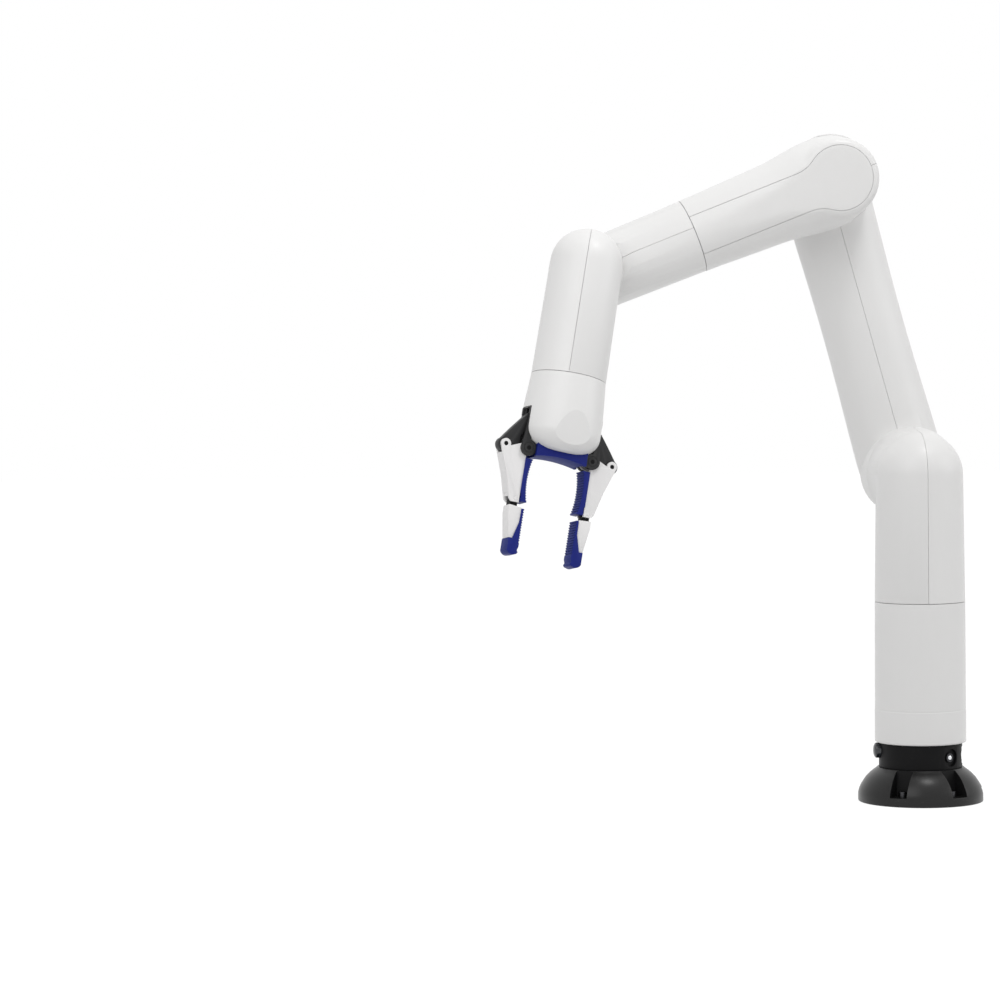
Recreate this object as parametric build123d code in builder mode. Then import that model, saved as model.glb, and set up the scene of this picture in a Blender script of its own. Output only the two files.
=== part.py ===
"""Collaborative robot arm: six joints, two-finger gripper, screw-down mounting flange.

Millimetres, +Z up. The origin is the centre of the flange's underside, on the
axis of the base joint. The base's front is -X and its cable opening is at +X.
The arm stands in its working pose: REST_ANGLES.
"""
from build123d import *
import os
from math import cos, radians, sin

os.makedirs("parts", exist_ok=True)

# Kinematic sizes
mount_height = 54.25
base_height = 128.25
shoulder_rise = 115.0
shoulder_reach = 30.0
upper_arm_length = 280.0
forearm_length = 140.0
forearm_offset = 20.0
wrist_length = 105.0
wrist_offset = 28.5
upper_arm_offset = 46.0
hand_length = 68.0

# Working pose, degrees
REST_ANGLES = (182.2, -15.6, 95.7, 103.3, 58.8, -21.6)

# Running clearances
joint_gap = 0.5
shell_seam = 0.3
shaft_clearance = 0.05
slide_clearance = 0.3

# Housings
wall = 3.0
base_foot_radius = 41.5
waist_radius = 41.0
shoulder_knee_radius = 39.5
shoulder_collar_radius = 43.0
arm_pod_radius = 40.4
arm_waist_width = 37.9
arm_root_width = 40.2
arm_half_depth = 30.0
elbow_collar_radius = 42.0
elbow_face_radius = 36.5
elbow_face_height = 55.0
forearm_waist_radius = 36.2
roll_radius = 34.0
wrist_foot_radius = 33.8
wrist_knee_radius = 32.4
wrist_collar_radius = 35.5
hand_radius = 33.4
hand_wide_radius = 36.0

# Forearm cover
cover_circle_radius = 29.5
cover_half_width = 17.8
cover_fillet = 10.0

# Mounting flange and neck
flange_radius = 56.9
flange_rim_height = 8.0
flange_height = 31.2
neck_radius = 39.0
neck_bore_radius = 30.0
bolt_circle_radius = 44.0
bolt_angles = (-30.0, 30.0, 150.0, 210.0)
bolt_slot_width = 16.0
bolt_seat_height = 8.0
bolt_thread_radius = 2.5
bolt_neck_radius = 2.1
bolt_reach = 12.0
bolt_hole_radius = 2.75
bolt_head_radius = 4.25
bolt_head_height = 5.0
bolt_hex_radius = 2.3
cable_opening_angle = 90.0
cable_opening_width = 30.0
cable_opening_height = 13.0

# Neck fittings
lock_screw_angles = (38.4, 141.6)
lock_screw_height = 42.0
lock_recess_radius = 6.7
lock_recess_depth = 3.5
lock_screw_radius = 3.4
button_angle = -90.0
button_height = 46.5
button_radius = 7.0
button_stand = 4.5
button_travel = 2.0
panel_angle = 90.0
panel_width = 44.0
panel_height = 16.0
panel_depth = 5.0

# Actuators
actuator_radius = 27.0
actuator_length = 34.0
small_actuator_radius = 24.0
small_actuator_length = 30.0
output_flange_thickness = 6.0
output_shaft_radius = 9.0
output_shaft_length = 12.0
bearing_outer_radius = 15.0
bearing_width = 7.0

# Gripper body
facet_top = 32.0
facet_depth = 7.4
shell_shoulder = 35.0
shell_round = 50.0
shell_flat = 14.0
pocket_top = 32.5
pocket_face = 29.5
palm_half_length = 24.0
palm_half_width = 14.0
palm_root = 60.0
palm_face = 76.0
palm_arch = 2.5
motor_radius = 20.0
motor_top = 7.0
motor_length = 18.5
rod_radius = 3.0
rod_length = 20.0
crosshead_width = 16.0
crosshead_top = 36.0
crosshead_depth = 10.0
crosshead_thickness = 14.0

# Fingers: places across the hand and towards the tips, then widths along the hinges
pivot_spacing = 30.5
pivot_height = 70.0
ring_spacing = 51.0
knuckle_spacing = 34.5
knuckle_height = 116.0
tip_height = 165.5
pad_face = 25.0
pad_back = 31.0
pad_hollow = 1.5
pad_root = 79.2
pad_end = 118.0
tip_pad_root = 124.0
tip_plate_end = 151.3
outer_waist_spacing = 46.4
outer_waist_height = 95.5
outer_tip_spacing = 35.5
slit_height = 120.7
slit_half = 1.5
pad_half_width = 8.2
finger_half_width = 7.3
link_half_width = 4.5
ear_inner = 7.6
ear_thickness = 3.0
ear_radius = 7.1
hub_radius = 6.0
ring_radius = 4.6
link_end_radius = 6.3
knuckle_radius = 3.5
pin_radius = 2.0
pin_play = 0.9
bracket_depth = 2.4
notch_depth = 1.0


def on_frame(frame, corner, along, normal):
    """Plane stated in a link's own frame, with its x axis along `along`."""
    base = Plane(frame)
    origin = base.from_local_coords(Vector(corner))
    x_dir = base.from_local_coords(Vector(along)) - base.origin
    z_dir = base.from_local_coords(Vector(normal)) - base.origin
    return Plane(origin=origin, x_dir=x_dir, z_dir=z_dir)


def axis_of(plane):
    """Axis along a plane's x direction, for turned outlines."""
    return Axis(plane.origin, plane.x_dir)


def save(piece, name):
    """Label one finished piece and write it."""
    piece.label = name
    export_step(piece, f"parts/{name}.step")


# Link frames. Each joint turns about its frame's z axis, and z points into the next link.
base_turn, shoulder_turn, elbow_turn, roll_turn, bend_turn, hand_turn = REST_ANGLES
waist_frame = Location((0, 0, mount_height + base_height), (0, 0, base_turn))
arm_frame = (
    waist_frame
    * Location((0, -shoulder_reach, shoulder_rise), (90, 0, 0))
    * Location((0, 0, 0), (0, 0, shoulder_turn))
)
elbow_frame = (
    arm_frame
    * Location((0, upper_arm_length, 0), (180, 0, 0))
    * Location((0, 0, 0), (0, 0, elbow_turn))
)
roll_frame = (
    elbow_frame
    * Location((0, -forearm_length, forearm_offset), (90, 0, 0))
    * Location((0, 0, 0), (0, 0, roll_turn))
)
bend_frame = (
    roll_frame
    * Location((wrist_offset, 0, wrist_length), (0, 90, 0))
    * Location((0, 0, 0), (0, 0, bend_turn))
)
hand_frame = (
    bend_frame
    * Location((-wrist_length, 0, wrist_offset), (0, -90, 0))
    * Location((0, 0, 0), (0, 0, hand_turn))
)


# Shared forms
def joint_recess(frame, centre, joint_dir, side, radius, reach, inset):
    """Disc that clears the next link's collar where a tube bulges past the joint plane."""
    recess_plane = on_frame(frame, centre, joint_dir, side)
    start = reach - joint_gap / 2 - inset
    with BuildPart() as recess:
        with BuildSketch(recess_plane):
            with BuildLine():
                Polyline((start, 0), (start, radius + joint_gap + inset),
                         (3 * reach, radius + joint_gap + inset), (3 * reach, 0), close=True)
            make_face()
        revolve(axis=axis_of(recess_plane))
    return recess.part


def bend_form(frame, foot, knee, joint_dir, radii, reach, inset=0.0):
    """Tube from foot to knee, a ball at the knee, and a collar out to the next joint."""
    foot_radius, knee_radius, collar_radius = (radius - inset for radius in radii)
    side = Vector(joint_dir).cross((Vector(knee) - Vector(foot)).normalized())
    recess = joint_recess(frame, knee, joint_dir, side, radii[2], reach, inset)
    run = Vector(knee) - Vector(foot)
    tube_dir = run.normalized()
    start = joint_gap / 2 - inset
    end = reach - joint_gap / 2 + inset
    tube_plane = on_frame(frame, foot, tube_dir, joint_dir)
    collar_plane = on_frame(frame, knee, joint_dir, side)
    with BuildPart() as form:
        with BuildSketch(tube_plane):
            with BuildLine():
                Polyline((start, 0), (start, foot_radius), (run.length, knee_radius))
                CenterArc((run.length, 0), knee_radius, 90, -90)
                Line((run.length + knee_radius, 0), (start, 0))
            make_face()
        revolve(axis=axis_of(tube_plane))
        add(recess, mode=Mode.SUBTRACT)
        with BuildSketch(collar_plane):
            with BuildLine():
                Polyline((0, 0), (0, knee_radius), (end, collar_radius), (end, 0), close=True)
            make_face()
        revolve(axis=axis_of(collar_plane))
    return form.part


def shell_halves(names, outer, inner, seam):
    """Two half shells that meet on the seam plane."""
    sides = ((names[0], seam.offset(shell_seam / 2), Keep.TOP),
             (names[1], seam.offset(-shell_seam / 2), Keep.BOTTOM))
    for name, edge, side in sides:
        with BuildPart() as half:
            add(outer)
            add(inner, mode=Mode.SUBTRACT)
            split(bisect_by=edge, keep=side)
        save(half.part, name)


def joint_set(prefix, frame, radius, length, parent_seat, child_seat):
    """Actuator and bearing in the parent link, output flange in the child link."""
    face_gap = 2 * joint_gap
    head_thickness = output_flange_thickness
    profile_plane = on_frame(frame, (0, 0, 0), (0, 0, 1), (1, 0, 0))
    bore = output_shaft_radius + slide_clearance
    bore_end = -face_gap - output_shaft_length - slide_clearance
    bearing_top = -face_gap
    bearing_bottom = bearing_top - bearing_width
    with BuildPart() as actuator:
        with BuildSketch(profile_plane):
            with BuildLine():
                Polyline(
                    (bore_end, 0), (bore_end, bore), (bearing_bottom, bore),
                    (bearing_bottom, bearing_outer_radius), (bearing_top, bearing_outer_radius),
                    (bearing_top, parent_seat), (bearing_top - head_thickness, parent_seat),
                    (bearing_top - head_thickness, radius), (-face_gap - length, radius),
                    (-face_gap - length, 0), close=True)
            make_face()
        revolve(axis=axis_of(profile_plane))
        chamfer(actuator.faces().sort_by(Axis(profile_plane.origin, profile_plane.x_dir))[0].edges(), 1.5)
    save(actuator.part, f"{prefix}_actuator")

    with BuildPart() as bearing:
        with BuildSketch(profile_plane):
            with BuildLine():
                Polyline(
                    (bearing_bottom, output_shaft_radius + shaft_clearance),
                    (bearing_bottom, bearing_outer_radius),
                    (bearing_top, bearing_outer_radius),
                    (bearing_top, output_shaft_radius + shaft_clearance), close=True)
            make_face()
        revolve(axis=axis_of(profile_plane))
    save(bearing.part, f"{prefix}_bearing")

    with BuildPart() as output:
        with BuildSketch(profile_plane):
            with BuildLine():
                Polyline(
                    (-face_gap - output_shaft_length, 0),
                    (-face_gap - output_shaft_length, output_shaft_radius),
                    (face_gap, output_shaft_radius), (face_gap, child_seat),
                    (face_gap + output_flange_thickness, child_seat),
                    (face_gap + output_flange_thickness, 0), close=True)
            make_face()
        revolve(axis=axis_of(profile_plane))
    save(output.part, f"{prefix}_output_flange")


def seat(end_radius, far_radius, run):
    """Radius of a disc that sits just inside the open end of a tapering shell."""
    depth = 2 * joint_gap + output_flange_thickness + wall
    taper = (far_radius - end_radius) * depth / run
    return min(end_radius, end_radius + taper) - wall - slide_clearance


# Mounting flange: a domed foot with bolt slots and a cable opening
def azimuth_point(radius, angle, height):
    """Point at an azimuth counted from the front of the foot towards its right."""
    return (radius * sin(radians(angle)), -radius * cos(radians(angle)), height)


def azimuth_plane(radius, angle, height):
    """Plane facing outwards at an azimuth, x horizontal and y up."""
    out = azimuth_point(1, angle, 0)
    across = (cos(radians(angle)), sin(radians(angle)), 0)
    return Plane(origin=azimuth_point(radius, angle, height), x_dir=across, z_dir=out)


with BuildPart() as mount_flange:
    with BuildSketch(Plane.XZ):
        with BuildLine():
            Polyline((neck_bore_radius, flange_height), (neck_bore_radius, 0),
                     (flange_radius - 1, 0), (flange_radius, 1), (flange_radius, flange_rim_height))
            ThreePointArc((flange_radius, flange_rim_height),
                          (flange_radius - 5.0, flange_rim_height + 11.5),
                          (neck_radius + 0.5, flange_height))
            Line((neck_radius + 0.5, flange_height), (neck_bore_radius, flange_height))
        make_face()
    revolve(axis=Axis.Z)
    for angle in bolt_angles:
        with BuildSketch(azimuth_plane(neck_radius, angle, bolt_seat_height)):
            Rectangle(bolt_slot_width, flange_height, align=(Align.CENTER, Align.MIN))
        extrude(amount=flange_radius, mode=Mode.SUBTRACT)
        with BuildSketch(Plane.XY):
            with Locations(azimuth_point(bolt_circle_radius, angle, 0)):
                Circle(bolt_hole_radius)
        extrude(amount=bolt_seat_height, mode=Mode.SUBTRACT)
    with BuildSketch(azimuth_plane(neck_bore_radius - 5, cable_opening_angle, 0)):
        Rectangle(cable_opening_width, cable_opening_height, align=(Align.CENTER, Align.MIN))
    extrude(amount=flange_radius, mode=Mode.SUBTRACT)
save(mount_flange.part, "mount_flange")

with BuildPart() as flange_bolts:
    for angle in bolt_angles:
        with BuildSketch(Plane.XY.offset(-bolt_reach)):
            with Locations(azimuth_point(bolt_circle_radius, angle, 0)):
                Circle(bolt_thread_radius)
        extrude(amount=bolt_reach)
        with BuildSketch(Plane.XY):
            with Locations(azimuth_point(bolt_circle_radius, angle, 0)):
                Circle(bolt_neck_radius)
        extrude(amount=bolt_seat_height)
        with BuildSketch(Plane.XY.offset(bolt_seat_height)):
            with Locations(azimuth_point(bolt_circle_radius, angle, 0)):
                Circle(bolt_head_radius)
        extrude(amount=bolt_head_height)
        with BuildSketch(Plane.XY.offset(bolt_seat_height + bolt_head_height)):
            with Locations(azimuth_point(bolt_circle_radius, angle, 0)):
                RegularPolygon(bolt_hex_radius, 6)
        extrude(amount=-bolt_head_height / 2, mode=Mode.SUBTRACT)
save(flange_bolts.part, "flange_bolts")


# Neck: ring above the flange with lock screws, a power button and the connector panel
neck_height = mount_height - flange_height
with BuildPart() as mount_neck:
    with BuildSketch(Plane.XY.offset(flange_height)):
        Circle(neck_radius)
        Circle(neck_bore_radius, mode=Mode.SUBTRACT)
    extrude(amount=neck_height)
    for angle in lock_screw_angles:
        with BuildSketch(azimuth_plane(neck_radius + 1, angle, lock_screw_height)):
            Circle(lock_recess_radius)
        extrude(amount=-lock_recess_depth - 1, mode=Mode.SUBTRACT)
    with BuildSketch(azimuth_plane(neck_bore_radius - 1, button_angle, button_height)):
        Circle(button_radius + slide_clearance)
    extrude(amount=flange_radius, mode=Mode.SUBTRACT)
    with BuildSketch(azimuth_plane(neck_radius - panel_depth, panel_angle, flange_height + 3)):
        Rectangle(panel_width, panel_height, align=(Align.CENTER, Align.MIN))
    extrude(amount=flange_radius, mode=Mode.SUBTRACT)
save(mount_neck.part, "mount_neck")

with BuildPart() as neck_lock_screws:
    for angle in lock_screw_angles:
        with BuildSketch(azimuth_plane(neck_radius - lock_recess_depth, angle, lock_screw_height)):
            Circle(lock_screw_radius)
        extrude(amount=2.2)
        with BuildSketch(azimuth_plane(neck_radius - lock_recess_depth + 2.2, angle, lock_screw_height)):
            RegularPolygon(lock_screw_radius / 2, 6)
        extrude(amount=-1.4, mode=Mode.SUBTRACT)
save(neck_lock_screws.part, "neck_lock_screws")

button_plane = azimuth_plane(neck_bore_radius + button_travel, button_angle, button_height)
button_length = neck_radius + button_stand - neck_bore_radius - button_travel
with BuildPart() as power_button:
    with BuildSketch(Plane(origin=button_plane.origin, x_dir=button_plane.z_dir, z_dir=button_plane.x_dir)):
        with BuildLine():
            Polyline((0, 0), (0, button_radius), (button_length - 3, button_radius))
            EllipticalCenterArc((button_length - 3, 0), 3, button_radius, start_angle=0, arc_size=90)
            Line((button_length, 0), (0, 0))
        make_face()
    revolve(axis=Axis(button_plane.origin, button_plane.z_dir))
save(power_button.part, "power_button")

with BuildPart() as connector_panel:
    with BuildSketch(azimuth_plane(neck_radius - panel_depth, panel_angle, flange_height + 3)):
        Rectangle(panel_width - shell_seam, panel_height - shell_seam, align=(Align.CENTER, Align.MIN))
    extrude(amount=2.0)
    with BuildSketch(azimuth_plane(neck_radius - panel_depth + 2.0, panel_angle, flange_height + 3)):
        with Locations((-13, panel_height / 2)):
            Circle(5.0)
        with Locations((2, panel_height / 2)):
            Rectangle(12.5, 9.5)
        with Locations((16, panel_height / 2)):
            Rectangle(6.0, 9.5)
    extrude(amount=-1.5, mode=Mode.SUBTRACT)
save(connector_panel.part, "connector_panel")


# Base shell
base_top = mount_height + base_height - joint_gap / 2
ring_line_height = mount_height + 30.0
with BuildPart() as base_shell:
    with BuildSketch(Plane.XZ):
        with BuildLine():
            Polyline(
                (neck_bore_radius + 3, mount_height), (base_foot_radius - 1, mount_height),
                (base_foot_radius, mount_height + 1), (base_foot_radius, ring_line_height),
                (base_foot_radius - 0.3, ring_line_height + 0.4), (waist_radius, base_top),
                (waist_radius - wall, base_top), (base_foot_radius - wall, mount_height + wall),
                (neck_bore_radius + 3, mount_height + wall), close=True)
        make_face()
    revolve(axis=Axis.Z)
save(base_shell.part, "base_shell")


# Shoulder link
shoulder_knee = (0, 0, shoulder_rise)
shoulder_radii = (waist_radius, shoulder_knee_radius, shoulder_collar_radius)
shoulder_outer = bend_form(waist_frame, (0, 0, 0), shoulder_knee, (0, -1, 0), shoulder_radii, shoulder_reach)
shoulder_inner = bend_form(waist_frame, (0, 0, 0), shoulder_knee, (0, -1, 0), shoulder_radii,
                           shoulder_reach, wall)
shell_halves(("shoulder_shell_right", "shoulder_shell_left"), shoulder_outer, shoulder_inner,
             on_frame(waist_frame, (0, 0, 0), (0, 0, 1), (1, 0, 0)))


# Upper arm: two round pods joined by an oval tube that narrows at its middle
def arm_form(inset=0.0):
    """Whole outline of the upper arm, shrunk by the inset."""
    depth = upper_arm_offset + arm_half_depth
    near = joint_gap / 2 - inset
    pods = ((0, shoulder_collar_radius), (upper_arm_length, elbow_collar_radius))
    roots = 30.0
    stations = ((0, arm_root_width - 0.6), (roots, arm_root_width), (upper_arm_length / 2, arm_waist_width),
                (upper_arm_length - roots, arm_root_width), (upper_arm_length, arm_root_width - 0.6))
    with BuildPart() as form:
        for place, width in stations:
            with BuildSketch(on_frame(arm_frame, (0, place, upper_arm_offset), (1, 0, 0), (0, 1, 0))):
                Ellipse(width - inset, arm_half_depth - 0.5 - inset)
        loft()
        for place, collar in pods:
            pod_plane = on_frame(arm_frame, (0, place, 0), (0, 0, 1), (1, 0, 0))
            with BuildSketch(pod_plane):
                with BuildLine():
                    Polyline((near, 0), (near, collar - inset), (upper_arm_offset, arm_pod_radius - inset))
                    EllipticalCenterArc((upper_arm_offset, 0), arm_half_depth - inset,
                                        arm_pod_radius - inset, start_angle=0, arc_size=90)
                    Line((depth - inset, 0), (near, 0))
                make_face()
            revolve(axis=axis_of(pod_plane))
    return form.part


shell_halves(("upper_arm_shell_right", "upper_arm_shell_left"), arm_form(), arm_form(wall),
             on_frame(arm_frame, (0, 0, 0), (0, 1, 0), (1, 0, 0)))


# Forearm: a flat-faced pod at the elbow and a tube to the roll joint
face_edge = elbow_face_radius - cover_circle_radius


def forearm_form(inset=0.0):
    """Whole outline of the forearm, shrunk by the inset."""
    near = joint_gap / 2 - inset
    face = elbow_face_height - inset
    end = forearm_length - joint_gap / 2 + inset
    edge = face_edge
    pod_plane = on_frame(elbow_frame, (0, 0, 0), (0, 0, 1), (1, 0, 0))
    tube_plane = on_frame(elbow_frame, (0, 0, forearm_offset), (0, -1, 0), (1, 0, 0))
    recess = joint_recess(elbow_frame, (0, 0, forearm_offset), (0, 0, -1), (1, 0, 0),
                          elbow_collar_radius, forearm_offset, inset)
    with BuildPart() as form:
        with BuildSketch(tube_plane):
            with BuildLine():
                Spline((12, elbow_collar_radius - inset), (30, elbow_collar_radius - 1.2 - inset),
                       (55, forearm_waist_radius + 1.1 - inset), (80, forearm_waist_radius - inset),
                       (end, roll_radius - inset))
                Polyline((end, roll_radius - inset), (end, 0), (0, 0), (0, elbow_collar_radius - inset),
                         (12, elbow_collar_radius - inset))
            make_face()
        revolve(axis=axis_of(tube_plane))
        add(recess, mode=Mode.SUBTRACT)
        split(bisect_by=on_frame(elbow_frame, (0, 0, face), (1, 0, 0), (0, 0, 1)), keep=Keep.BOTTOM)
        with BuildSketch(pod_plane):
            with BuildLine():
                Polyline((near, 0), (near, elbow_collar_radius - inset),
                         (face - edge, elbow_face_radius - inset))
                CenterArc((face - edge, cover_circle_radius - inset), edge, 90, -90)
                Polyline((face, cover_circle_radius - inset), (face, 0), (near, 0))
            make_face()
        revolve(axis=axis_of(pod_plane))
    return form.part


def cover_outline(grow=0.0):
    """Keyhole column that separates the forearm's front cover."""
    with BuildPart() as column:
        with BuildSketch(on_frame(elbow_frame, (0, 0, forearm_offset), (0, -1, 0), (0, 0, 1))) as outline:
            Circle(cover_circle_radius + grow)
            with Locations((forearm_length / 2, 0)):
                Rectangle(forearm_length + 1, 2 * (cover_half_width + grow))
            bar_side = cover_half_width + grow
            inner_corners = outline.vertices().filter_by(
                lambda corner: abs(abs(corner.Y) - bar_side) < 1 and 0 < corner.X < forearm_length / 2)
            fillet(inner_corners, cover_fillet)
        extrude(amount=forearm_length)
    return column.part


forearm_outer = forearm_form()
forearm_inner = forearm_form(wall)
cover_column = cover_outline()
cover_opening = cover_outline(shell_seam)
with BuildPart() as forearm_cover:
    add(forearm_outer)
    add(forearm_inner, mode=Mode.SUBTRACT)
    add(cover_column, mode=Mode.INTERSECT)
save(forearm_cover.part, "forearm_cover")
with BuildPart() as forearm_body:
    add(forearm_outer)
    add(cover_opening, mode=Mode.SUBTRACT)
shell_halves(("forearm_shell_lower", "forearm_shell_upper"), forearm_body.part, forearm_inner,
             on_frame(elbow_frame, (0, 0, 0), (0, 1, 0), (1, 0, 0)))


# Wrist links
wrist_radii = (wrist_foot_radius, wrist_knee_radius, wrist_collar_radius)
wrist_knee = (0, 0, wrist_length)
wrist_outer = bend_form(roll_frame, (0, 0, 0), wrist_knee, (1, 0, 0), wrist_radii, wrist_offset)
wrist_inner = bend_form(roll_frame, (0, 0, 0), wrist_knee, (1, 0, 0), wrist_radii, wrist_offset, wall)
shell_halves(("wrist_shell_upper", "wrist_shell_lower"), wrist_outer, wrist_inner,
             on_frame(roll_frame, (0, 0, 0), (0, 0, 1), (0, 1, 0)))

hand_radii = (hand_radius, wrist_knee_radius, wrist_collar_radius)
hand_foot = (-wrist_length, 0, wrist_offset)
hand_knee = (0, 0, wrist_offset)
hand_outer = bend_form(bend_frame, hand_foot, hand_knee, (0, 0, -1), hand_radii, wrist_offset)
hand_inner = bend_form(bend_frame, hand_foot, hand_knee, (0, 0, -1), hand_radii, wrist_offset, wall)
shell_halves(("hand_link_shell_left", "hand_link_shell_right"), hand_outer, hand_inner,
             on_frame(bend_frame, (0, 0, 0), (1, 0, 0), (0, 1, 0)))


# Joint sets
joint_set("base", waist_frame, actuator_radius, actuator_length,
          seat(waist_radius, base_foot_radius, base_height),
          seat(waist_radius, shoulder_knee_radius, shoulder_rise))
joint_set("shoulder", arm_frame, actuator_radius, actuator_length,
          seat(shoulder_collar_radius, shoulder_knee_radius, shoulder_reach),
          seat(shoulder_collar_radius, arm_pod_radius, upper_arm_offset))
joint_set("elbow", elbow_frame, actuator_radius, actuator_length,
          seat(elbow_collar_radius, arm_pod_radius, upper_arm_offset),
          seat(elbow_collar_radius, elbow_face_radius, elbow_face_height - face_edge))
joint_set("roll", roll_frame, small_actuator_radius, small_actuator_length,
          seat(roll_radius, forearm_waist_radius, forearm_length),
          seat(wrist_foot_radius, wrist_knee_radius, wrist_length))
joint_set("bend", bend_frame, small_actuator_radius, small_actuator_length,
          seat(wrist_collar_radius, wrist_knee_radius, wrist_offset),
          seat(wrist_collar_radius, wrist_knee_radius, wrist_offset))
joint_set("hand", hand_frame, small_actuator_radius, small_actuator_length,
          seat(hand_radius, wrist_knee_radius, wrist_length),
          seat(hand_radius, hand_wide_radius, wrist_offset))


# Gripper. x is the fingers' hinge direction, y runs across them and z points to the tips.
def hand_plane(x=0.0):
    """Plane across the hinge direction, x across the fingers and y towards the tips."""
    return on_frame(hand_frame, (x, 0, 0), (0, 1, 0), (1, 0, 0))


def hand_form(inset=0.0):
    """Outline of the gripper body with its two sloped facets."""
    start = joint_gap / 2 - inset
    end = hand_length - inset
    wide = hand_wide_radius - inset
    facet_foot = hand_wide_radius - facet_depth - inset
    profile_plane = on_frame(hand_frame, (0, 0, 0), (0, 0, 1), (1, 0, 0))
    with BuildPart() as form:
        with BuildSketch(profile_plane):
            with BuildLine():
                Polyline((start, 0), (start, hand_radius - inset), (shell_shoulder, wide),
                         (shell_round, wide))
                EllipticalCenterArc((shell_round, shell_flat), end - shell_round, wide - shell_flat,
                                    start_angle=0, arc_size=90)
                Polyline((end, shell_flat), (end, 0), (start, 0))
            make_face()
        revolve(axis=axis_of(profile_plane))
        with BuildSketch(on_frame(hand_frame, (0, 0, 0), (1, 0, 0), (0, 1, 0))):
            for side in (1, -1):
                with BuildLine():
                    Polyline((side * wide, -facet_top), (side * facet_foot, -hand_length),
                             (side * wide, -hand_length), close=True)
                make_face()
        extrude(amount=hand_wide_radius, both=True, mode=Mode.SUBTRACT)
    return form.part


hand_outer = hand_form()
hand_inner = hand_form(wall)
palm_seat = hand_form(-shell_seam / 2)
bracket_half_width = ear_inner + ear_thickness
pocket_half_width = bracket_half_width + slide_clearance
pocket_reach = hand_wide_radius - pocket_face + wall
with BuildPart() as gripper_shell:
    add(hand_outer)
    add(hand_inner, mode=Mode.SUBTRACT)
    for side in (1, -1):
        with BuildSketch(hand_plane(-pocket_half_width)):
            with Locations((side * (pocket_face + pocket_reach / 2), (pocket_top + hand_length + wall) / 2)):
                Rectangle(pocket_reach, hand_length + wall - pocket_top)
            with Locations((side * pivot_spacing, pivot_height)):
                Circle(ear_radius + slide_clearance)
        extrude(amount=2 * pocket_half_width, mode=Mode.SUBTRACT)
save(gripper_shell.part, "gripper_shell")

# Each ear and finger hub turns in its own round seat in the palm pad
pad_seats = ((pad_half_width + 2 * slide_clearance, pivot_height - palm_root + slide_clearance),
             (pocket_half_width, ear_radius + slide_clearance))
with BuildPart() as palm_pad:
    with BuildSketch(hand_plane(-palm_half_width)):
        with BuildLine():
            Polyline((-palm_half_length, palm_face), (-palm_half_length, palm_root),
                     (palm_half_length, palm_root), (palm_half_length, palm_face))
            ThreePointArc((palm_half_length, palm_face), (0, palm_face - palm_arch),
                          (-palm_half_length, palm_face))
        make_face()
    extrude(amount=2 * palm_half_width)
    add(palm_seat, mode=Mode.SUBTRACT)
    for side in (1, -1):
        for half_width, radius in pad_seats:
            with BuildSketch(hand_plane(-half_width)):
                with Locations((side * pivot_spacing, pivot_height)):
                    Circle(radius)
            extrude(amount=2 * half_width, mode=Mode.SUBTRACT)
save(palm_pad.part, "palm_pad")

with BuildPart() as gripper_motor:
    with BuildSketch(on_frame(hand_frame, (0, 0, motor_top), (1, 0, 0), (0, 0, 1))):
        Circle(motor_radius)
        Circle(rod_radius + slide_clearance, mode=Mode.SUBTRACT)
    extrude(amount=motor_length)
save(gripper_motor.part, "gripper_motor")

crosshead_middle = crosshead_top + crosshead_depth / 2
with BuildPart() as crosshead:
    with BuildSketch(hand_plane(-crosshead_thickness / 2)):
        with Locations((0, crosshead_middle)):
            Rectangle(crosshead_width, crosshead_depth)
    extrude(amount=crosshead_thickness)
    with BuildSketch(on_frame(hand_frame, (0, 0, crosshead_middle - rod_length), (1, 0, 0), (0, 0, 1))):
        Circle(rod_radius)
    extrude(amount=rod_length)
save(crosshead.part, "crosshead")


# Finger outlines for the +y side: across the hand, then towards the tips
slot_half_width = link_half_width + slide_clearance
pin_fit = pin_radius - shaft_clearance
bracket_face = pivot_spacing + bracket_depth / 2 - slide_clearance / 2
bracket_top = pocket_top + slide_clearance
slot_end = pivot_height - hub_radius - wall
link_root = crosshead_width / 2
link_bottom = crosshead_top + crosshead_depth
outer_ear = pivot_spacing + ear_radius
web = ring_spacing - pivot_spacing
pad_relief = pad_back - notch_depth
slit_top = slit_height - slit_half
slit_bottom = slit_height + slit_half
bracket_outline = (
    (pocket_face + slide_clearance, bracket_top), (hand_wide_radius, bracket_top),
    (hand_wide_radius, bracket_top + bracket_depth), (outer_ear - ear_radius / 2, bracket_top + ear_radius),
    (outer_ear - slide_clearance, pivot_height - pin_radius), (pivot_spacing, pivot_height + pin_radius),
    (pocket_face + slide_clearance, pivot_height - ear_radius))
link_outline = (
    (outer_ear, pivot_height - crosshead_depth), (pad_back + slide_clearance, link_bottom + wall),
    (pad_back + slide_clearance, link_bottom), (link_root, link_bottom), (link_root, crosshead_top),
    (pocket_face, crosshead_top), (pad_back + pin_radius, crosshead_top + pin_radius))
link_outer_middle = (ring_spacing - link_end_radius, (crosshead_top + pivot_height) / 2 - pin_play)
link_outer_end = (ring_spacing + ring_radius - pin_play, pivot_height - ring_radius)
link_lower_edge = (
    (ring_spacing, pivot_height + link_end_radius - pin_play),
    (outer_ear - slide_clearance, pivot_height - pin_play), (outer_ear, pivot_height - crosshead_depth))
proximal_outline = (
    (pivot_spacing, pivot_height - hub_radius), (pivot_spacing + web / 3, pivot_height - wall),
    (ring_spacing - ring_radius, pivot_height + pin_play),
    (ring_spacing + ring_radius - pin_play, pivot_height + wall),
    (outer_waist_spacing, outer_waist_height), (knuckle_spacing + hub_radius, knuckle_height + pin_play),
    (knuckle_spacing + ring_radius - pin_play, slit_top), (pad_back, slit_top),
    (pad_back, pivot_height + pin_radius))
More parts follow.
